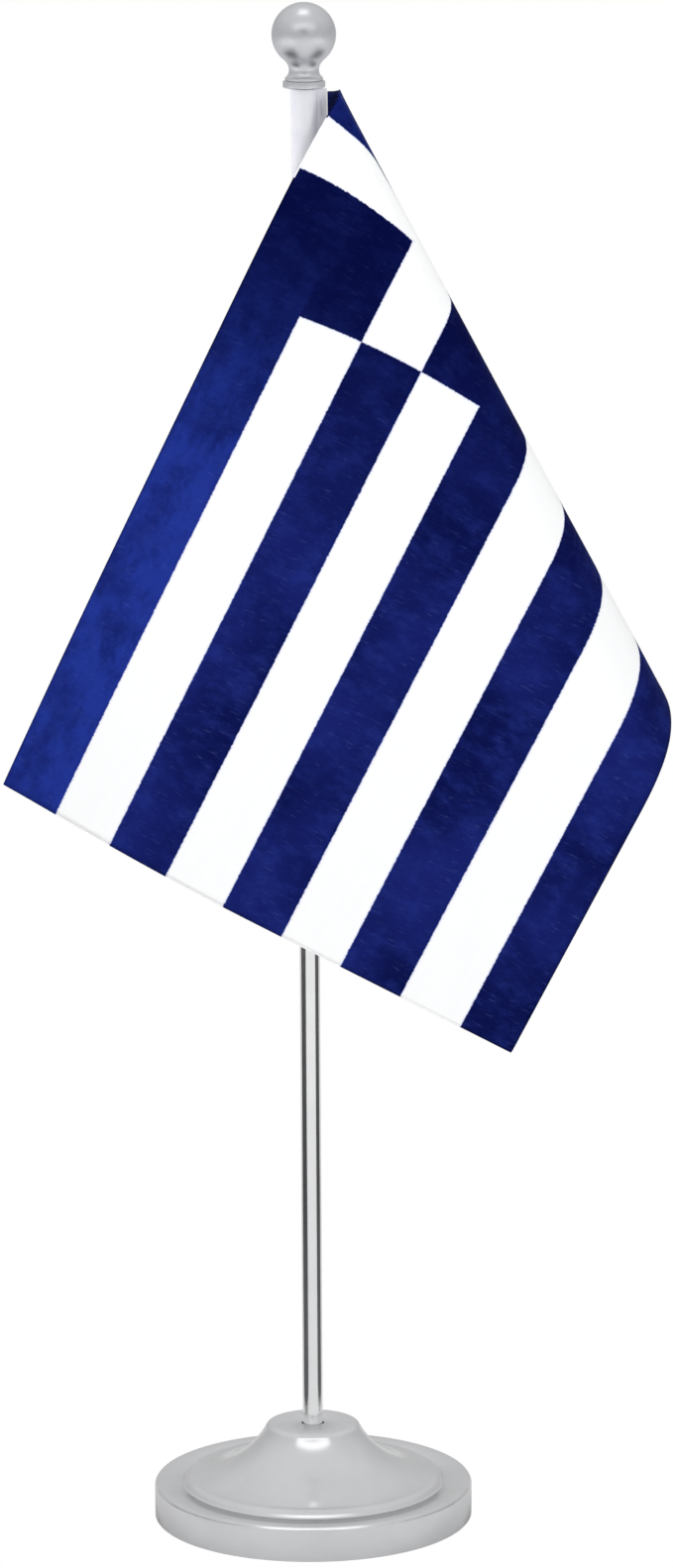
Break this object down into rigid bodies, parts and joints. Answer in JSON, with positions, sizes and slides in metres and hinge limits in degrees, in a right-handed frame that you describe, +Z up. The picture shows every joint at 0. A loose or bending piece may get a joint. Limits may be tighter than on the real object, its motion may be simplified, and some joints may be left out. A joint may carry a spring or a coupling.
{
  "type": "desk flag stand",
  "caption": "Plated round desk stand with a slim pole, a ball finial and a small striped cloth flag hanging from a sleeve that turns on the pole.",
  "frame": {"origin": "middle of the underside of the base pad, where the stand meets the desk", "axes": "+Z up along the pole, +X to the side on which the flag leaves the pole, -Y to the front where the hanging layer is seen"},
  "size_m": [0.1588, 0.0777, 0.3663],
  "materials": {
    "chrome_plate": "bright nickel-chrome plate, very lightly hazed on the finial",
    "pad_foam": "matte closed-cell foam pad",
    "plain_steel": "zinc-plated steel, dull",
    "cast_ballast": "rough casting",
    "turned_brass": "turned brass",
    "stop_rubber": "matte rubber",
    "sleeve_cloth": "woven white polyester",
    "flag_satin": "printed satin polyester in navy and white stripes"
  },
  "bodies": {
    "base": {"base_shell": "chrome_plate", "base_pad": "pad_foam", "base_cover": "plain_steel", "base_weight": "cast_ballast", "hub_bush": "turned_brass", "flat_washer": "plain_steel", "lock_washer": "plain_steel", "clamp_nut": "plain_steel"},
    "pole": {"pole_tube": "chrome_plate", "pole_stud": "plain_steel", "pole_top_insert": "turned_brass", "sleeve_stop_ring": "stop_rubber"},
    "finial": {"finial_collar": "chrome_plate", "finial_stud": "plain_steel", "finial_ball": "chrome_plate"},
    "flag": {"flag_sleeve": "sleeve_cloth", "flag_cloth": "flag_satin"}
  },
  "joints": [
    {"name": "pole_screw", "type": "hinge", "parent": "base", "child": "pole", "pos_m": [0, 0, 0.02], "axis": [0, 0, 1], "continuous": true},
    {"name": "finial_screw", "type": "hinge", "parent": "pole", "child": "finial", "pos_m": [0, 0, 0.346], "axis": [0, 0, 1], "continuous": true},
    {"name": "flag_swivel", "type": "hinge", "parent": "pole", "child": "flag", "pos_m": [0, 0, 0.277], "axis": [0, 0, 1], "continuous": true}
  ]
}
